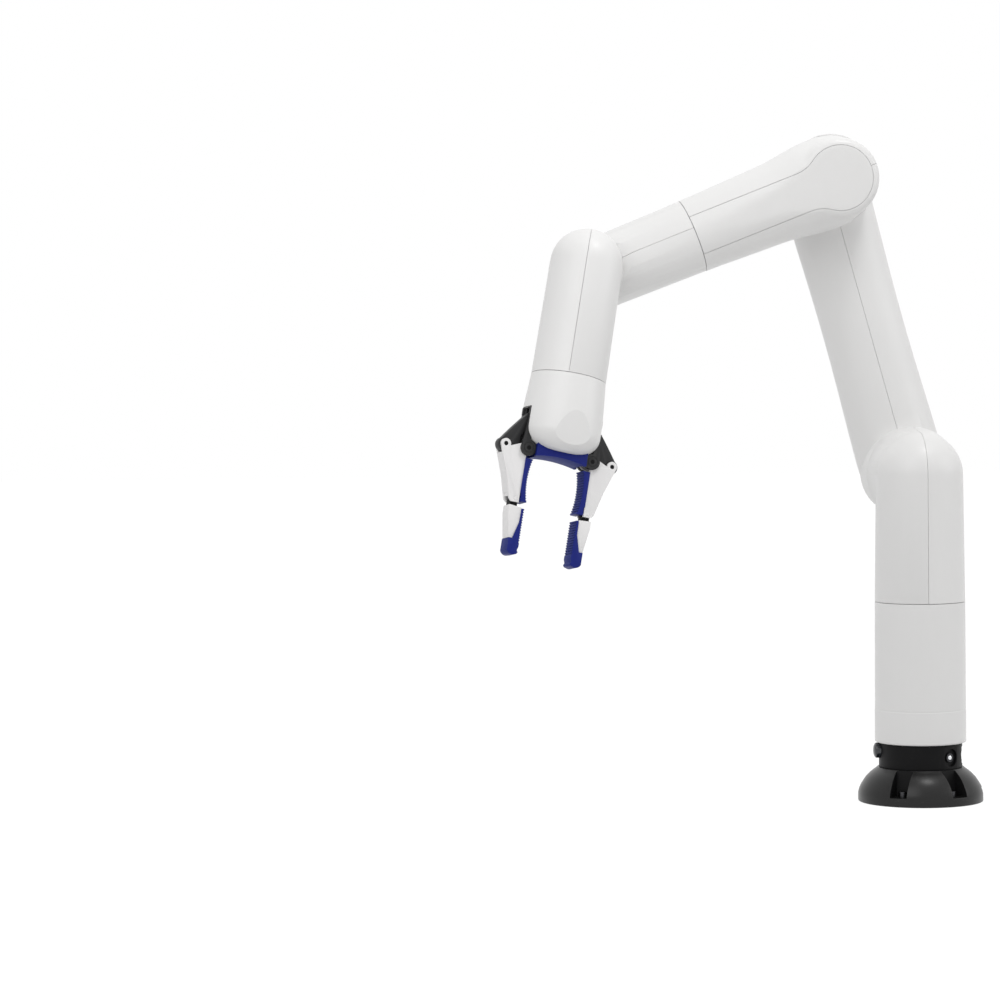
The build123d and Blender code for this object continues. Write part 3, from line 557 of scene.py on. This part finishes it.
# Foot: domed disc with four screw slots and a cable opening
slot_angles = (-30, 30, 150, 210)
slot_floor, slot_half_width, slot_root = 8.0, 8.0, 39.0
screw_circle, screw_hole_radius, neck_bore_radius = 44.0, 2.75, 30.0
foot_profile = [(0, 55.9), (0.4, 56.6), (1.2, 56.9), (6.0, 56.9), (8.0, 56.8), (11.0, 56.1), (14.6, 54.6),
                (18.5, 52.2), (22.0, 49.8), (25.7, 46.2), (28.0, 43.4), (29.4, 41.4), (30.6, 39.9),
                (31.2, 39.3)]
foot = turned("domed_foot", foot_profile, upright, 192)
combine(foot, "DIFFERENCE", turned("bore", [(-5, neck_bore_radius), (40, neck_bore_radius)], upright))
for angle in slot_angles:
    slot = block("slot", (-slot_half_width, -70, slot_floor), (slot_half_width, -slot_root, 40),
                 turn("Z", angle))
    hole = turned("hole", [(-5, screw_hole_radius), (slot_floor + 1, screw_hole_radius)],
                  turn("Z", angle) @ move(0, -screw_circle, 0), 32)
    combine(foot, "DIFFERENCE", slot, hole)
combine(foot, "DIFFERENCE", block("cable", (-15, -90, -1), (15, -25, 13), turn("Z", 90)))
finished(foot, "base", dark, ["mount_flange"])
# The slots' walls and floors get the neck's black: painted shade in the recesses
for angle in slot_angles:
    painted(foot, black, turn("Z", angle),
            lambda at, facing: abs(at.x) < slot_half_width + 0.1 and at.y < 0.1 - slot_root
            and at.z > slot_floor - 0.1)


# Neck: ring with lock-screw recesses, the button's hole and the connector panel's pocket
neck_radius = 37.8
lock_angles, lock_height = (38.4, 141.6), 42.0
recess_radius, recess_floor = 8.0, 34.4
socket_floor, dome_radius = 35.6, 2.5
button_height, button_radius, button_angle, panel_angle = 46.5, 7.0, -90, 90
neck = turned("black_neck", [(flange_height, neck_radius), (mount_height, neck_radius)], upright, 192)
combine(neck, "DIFFERENCE", turned("bore", [(20, neck_bore_radius), (70, neck_bore_radius)], upright))
for angle in lock_angles:
    combine(neck, "DIFFERENCE", turned("recess", [(recess_floor, recess_radius), (45, recess_radius)],
                                       facing_side(angle, lock_height), 64))
combine(neck, "DIFFERENCE",
        turned("button_hole", [(25, button_radius + 0.3), (45, button_radius + 0.3)],
               facing_side(button_angle, button_height), 64),
        block("pocket", (-22, -60, 34.2), (22, -34, 50.2), turn("Z", panel_angle)))
finished(neck, "base", black, ["mount_neck"], edge=0.3)

heads = []
for angle in lock_angles:
    head = [(recess_floor, 4.2), (35.8, 4.2), (36.2, 3.8), (36.2, 3.0), (socket_floor, 2.9),
            (socket_floor, dome_radius)]
    heads.append(turned("head", head + dome(socket_floor, dome_radius, 1.4, 8, 0.2),
                        facing_side(angle, lock_height), 48))
heads = finished(joined("lock_screw_heads", heads), "base", screw_grey, ["neck_lock_screws"], edge=0.0)
for angle in lock_angles:
    painted(heads, chrome, facing_side(angle, lock_height),
            lambda at, facing: at.z > socket_floor and Vector((at.x, at.y)).length < dome_radius)

panel = merged_copy("connector_panel", "trimmed_connector_panel")
combine(panel, "INTERSECT", turned("limit", [(20, neck_radius - 0.3), (70, neck_radius - 0.3)], upright, 192))
finished(panel, "base", black, ["connector_panel"], 0.2, 30)

button = [(32, button_radius), (40.5, button_radius)] + dome(40.5, button_radius, 3.0, 10, 0.2)
button = turned("domed_button", button, facing_side(button_angle, button_height), 64)
finished(button, "button", glossy_black, ["power_button"], edge=0.0)


# Gripper body: round shell with an oval bottom, two sloped facets and the brackets' pockets
palm_top_radius, palm_radius, palm_end_radius, palm_shoulder = 33.4, 36.0, 14.0, 50.0
facet_height, facet_lean = 32.0, 11.6
ear_face = 10.6
pivot_across, pivot_down = 30.5, 70.0


def palm_form(name, inset):
    """Round shell whose end is rounded in, with a sloped facet on its front and back."""
    start, end = joint_gap / 2 - inset, hand_length - inset
    wide, steps = palm_radius - inset, 16
    profile = [(start, palm_top_radius - inset), (35, wide), (palm_shoulder, wide)]
    for angle in (pi / 2 * step / steps for step in range(1, steps + 1)):
        profile.append((palm_shoulder + (end - palm_shoulder) * sin(angle),
                        palm_end_radius + (wide - palm_end_radius) * cos(angle)))
    form = turned(name, profile + [(end, 1.0)], hand)
    for side in (1, -1):
        tilt = turn("Y", -side * facet_lean) @ turn("Z", 90 - side * 90)
        place = hand @ move(side * wide, 0, facet_height) @ tilt
        combine(form, "DIFFERENCE", block("facet", (0, -60, 0), (40, 60, 90), place))
    return form


palm = combine(palm_form("gripper_body", 0), "DIFFERENCE", palm_form("palm_inside", wall))
room = ear_face + 0.3
for side in (1, -1):
    low, high = sorted((side * 29.5, side * 70))
    combine(palm, "DIFFERENCE", block("pocket", (-room, low, 32.5), (room, high, 92.5), hand),
            turned("ear", [(-room, 7.4), (room, 7.4)],
                   hand @ move(0, side * pivot_across, pivot_down) @ turn("Y", 90), 64))
finished(palm, "gripper", white, ["gripper_shell"], angle=9)


# Gripper fittings: merged copies of the nodes, worked further and given rounded edges
rib_pitch, rib_groove, rib_depth = 2.3, 1.1, 0.7
pad_face, pad_hollow, pad_top, pad_end = 25.0, 1.5, 79.2, 118.0
ring_across, knuckle_across, knuckle_down = 51.0, 34.5, 116.0
plate_face, pin_radius, pin_edge = 7.3, 1.95, 0.3
groove_inner, groove_outer, groove_depth = 4.1, 4.9, 0.4
web_thickness, web_half_width, web_inset = 1.2, 5.2, 0.1
webs = ((52.3, 79.5, 20.2, -2.0, 14.5), (42.0, 110.0, 14.0, -1.5, 5.0))


def grooves(side, first, last, face_at):
    """Comb of blocks that cuts ribs across a pad's grip face. One tooth is made and copied to each groove."""
    tooth = block("tooth", (-9, -2, -rib_groove / 2), (9, 2, rib_groove / 2), upright)
    teeth = []
    for step in range(int((last - first) / rib_pitch) + 1):
        down = first + step * rib_pitch
        slope = face_at(down + 0.5) - face_at(down - 0.5)
        place = hand @ move(0, side * face_at(down), down) @ turn("X", -side * degrees(atan(slope)))
        teeth.append(settle(copied(tooth, "tooth_copy"), place @ move(0, side * (rib_depth - 2), 0)))
    bpy.data.objects.remove(tooth)
    return joined("teeth", teeth)


def proximal_face(down):
    """How far the inner pad's hollow grip face is from the hand's middle."""
    middle, half = (pad_top + pad_end) / 2, (pad_end - pad_top) / 2
    return pad_face + pad_hollow - (pad_hollow + 0.9) * ((down - middle) / half) ** 2


def distal_face(down):
    """The outer pad's grip face is flat."""
    return pad_face


for side, label in ((1, "left"), (-1, "right")):
    finger, tip = f"{label}_finger", f"{label}_tip"

    bracket = merged_copy(f"{label}_bracket", f"{label}_ringed_bracket")
    for outwards in (90, -90):
        ear = hand @ move(0, side * pivot_across, pivot_down) @ turn("Y", outwards)
        ring = turned("ring", [(ear_face - groove_depth, groove_outer), (ear_face + 1, groove_outer)], ear, 48)
        core = turned("core", [(ear_face - 1, groove_inner), (ear_face + 2, groove_inner)], ear, 48)
        combine(bracket, "DIFFERENCE", combine(ring, "DIFFERENCE", core))
    low, high = sorted((side * 34.6, side * 45))
    combine(bracket, "DIFFERENCE", block("corner", (-12, low, 30), (12, high, 41), hand))
    finished(bracket, "gripper", charcoal, [f"{label}_bracket"], 0.4, 30)
    push_link = merged_copy(f"{label}_push_link", f"{label}_soft_push_link")
    finished(push_link, "yoke", charcoal, [f"{label}_push_link"], 0.5, 30)

    plates = merged_copy(f"{label}_proximal_link", f"{label}_finger_plates")
    for across, down, lean, start, end in webs:
        low, high = sorted((-web_inset * side, -(web_inset + web_thickness) * side))
        place = hand @ move(0, side * across, down) @ turn("X", side * lean)
        web = block("web", (-web_half_width, low, start), (web_half_width, high, end), place)
        combine(plates, "UNION", web)
    finished(plates, finger, cheek, [f"{label}_proximal_link"], 0.3, 30)

    pins = []
    for across, down in ((ring_across, pivot_down), (knuckle_across, knuckle_down)):
        axle = hand @ move(0, side * across, down) @ turn("Y", 90)
        pins.append(turned("pin", [(-plate_face, pin_radius - pin_edge), (-plate_face + pin_edge, pin_radius),
                                   (plate_face - pin_edge, pin_radius), (plate_face, pin_radius - pin_edge)],
                           axle, 40))
    pins = finished(joined(f"{label}_pins", pins), finger, black, [f"{label}_finger_pins"], 0.0)
    painted(pins, cheek, hand, lambda at, facing: at.z > 100)

    pad = merged_copy(f"{label}_proximal_pad", f"{label}_ribbed_finger_pad")
    combine(pad, "DIFFERENCE", grooves(side, 81.0, 116.5, proximal_face))
    finished(pad, finger, blue, [f"{label}_proximal_pad"], 0.15, 40)
    # The grip face gets the lighter blue: painted sheen of the ribs catching light, with dust
    painted(pad, grip_blue_dust_and_sheen, hand, lambda at, facing: facing.y * side < -0.6)

    knuckle = merged_copy(f"{label}_distal_link", f"{label}_tip_plates")
    finished(knuckle, tip, cheek, [f"{label}_distal_link"], 0.3, 30)
    # The lug at the knuckle gets the neck's black: painted shade in the slit between the plates
    painted(knuckle, black, hand, lambda at, facing: at.z < 122.3)

    pad = merged_copy(f"{label}_distal_pad", f"{label}_ribbed_tip_pad")
    combine(pad, "DIFFERENCE", grooves(side, 126.0, 155.5, distal_face))
    finished(pad, tip, blue, [f"{label}_distal_pad"], 0.15, 40)
    # The tip pad's side faces get the lighter blue: painted sheen, with dust
    painted(pad, grip_blue_dust_and_sheen, hand, lambda at, facing: abs(facing.y) > 0.5)

palm_saddle = finished(merged_copy("palm_pad", "palm_saddle"), "gripper", blue, ["palm_pad"], 0.5, 30)
# The saddle's face towards the fingers gets the same lighter blue: painted sheen, with dust
painted(palm_saddle, grip_blue_dust_and_sheen, hand, lambda at, facing: facing.z > 0.8 and at.z > 72)

# Finishes of the nodes that show as they are
plain_finishes = {"flange_bolts": screw_grey, "crosshead": steel, "gripper_motor": aluminium,
                  "left_pivot_pin": black, "right_pivot_pin": black}
for joint in ("base", "shoulder", "elbow", "roll", "bend", "hand"):
    plain_finishes[f"{joint}_actuator"] = aluminium
    plain_finishes[f"{joint}_bearing"] = steel
    plain_finishes[f"{joint}_output_flange"] = aluminium
for node, finish in plain_finishes.items():
    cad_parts[node].data.materials.clear()
    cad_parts[node].data.materials.append(finish)


# Floor, world and lamps
def seen_directly(tree, share):
    """Share of a plain white for rays that see the background: straight, mirrored or through glass."""
    path = tree.nodes.new("ShaderNodeLightPath")
    seen = Value(tree, path.outputs["Is Camera Ray"]) + Value(tree, path.outputs["Is Glossy Ray"])
    return ((seen + Value(tree, path.outputs["Is Transmission Ray"])).at_most(1.0) * share).socket


def blended(tree, share, lit, plain, output):
    """Show the plain white to the rays that see the background, and the lit shader to the rest."""
    mix = tree.nodes.new("ShaderNodeMixShader")
    tree.links.new(seen_directly(tree, share), mix.inputs[0])
    tree.links.new(lit.outputs[0], mix.inputs[1])
    tree.links.new(plain.outputs[0], mix.inputs[2])
    tree.links.new(mix.outputs[0], tree.nodes[output].inputs["Surface"])


bpy.ops.object.select_all(action="DESELECT")
bpy.ops.mesh.primitive_plane_add(size=14.0, location=(0, 0, 0))
floor = bpy.context.object
floor.name = "floor"
pale_floor = bpy.data.materials.new("pale_floor")
pale_floor.use_nodes = True
tree = pale_floor.node_tree
matt = tree.nodes["Principled BSDF"]
matt.inputs["Base Color"].default_value = (0.72, 0.72, 0.72, 1)
matt.inputs["Roughness"].default_value = 0.9
glow = tree.nodes.new("ShaderNodeEmission")
glow.inputs["Color"].default_value = (1, 1, 1, 1)
glow.inputs["Strength"].default_value = 1.2
blended(tree, 0.75, matt, glow, "Material Output")
floor.data.materials.append(pale_floor)

# The light is strongest from above and a little stronger from behind
from_above, from_behind, all_round = 0.48, 0.24, 0.40
world = bpy.data.worlds.new("studio")
bpy.context.scene.world = world
world.use_nodes = True
sky = world.node_tree
ambient = sky.nodes["Background"]
ambient.inputs["Color"].default_value = (1, 1, 1, 1)
heading = sky.nodes.new("ShaderNodeTexCoord")
parts = sky.nodes.new("ShaderNodeSeparateXYZ")
sky.links.new(heading.outputs["Generated"], parts.inputs[0])
level = Value(sky, parts.outputs["Z"]) * from_above + Value(sky, parts.outputs["Y"]) * from_behind + all_round
sky.links.new(level.at_least(0.0).socket, ambient.inputs["Strength"])
backdrop = sky.nodes.new("ShaderNodeBackground")
backdrop.inputs["Color"].default_value = (1, 1, 1, 1)
backdrop.inputs["Strength"].default_value = 1.0
blended(sky, 1.0, ambient, backdrop, "World Output")


def lamp(name, place, target, size, watts):
    """Soft square lamp aimed at a point."""
    data = bpy.data.lights.new(name, "AREA")
    data.size = size
    data.energy = watts
    item = bpy.data.objects.new(name, data)
    bpy.context.collection.objects.link(item)
    item.location = place
    item.rotation_euler = (Vector(target) - Vector(place)).to_track_quat("-Z", "Y").to_euler()


lamp("key_near_the_hand", (-0.62, -0.8, 0.85), (-0.3, -0.05, 0.42), 0.8, 3.2)
lamp("softbox_overhead", (0.2, -0.45, 1.6), (0, 0, 0.3), 0.3, 4.4)
lamp("rim_from_the_right", (1.4, -0.4, 0.8), (-0.05, 0, 0.3), 0.9, 3.5)
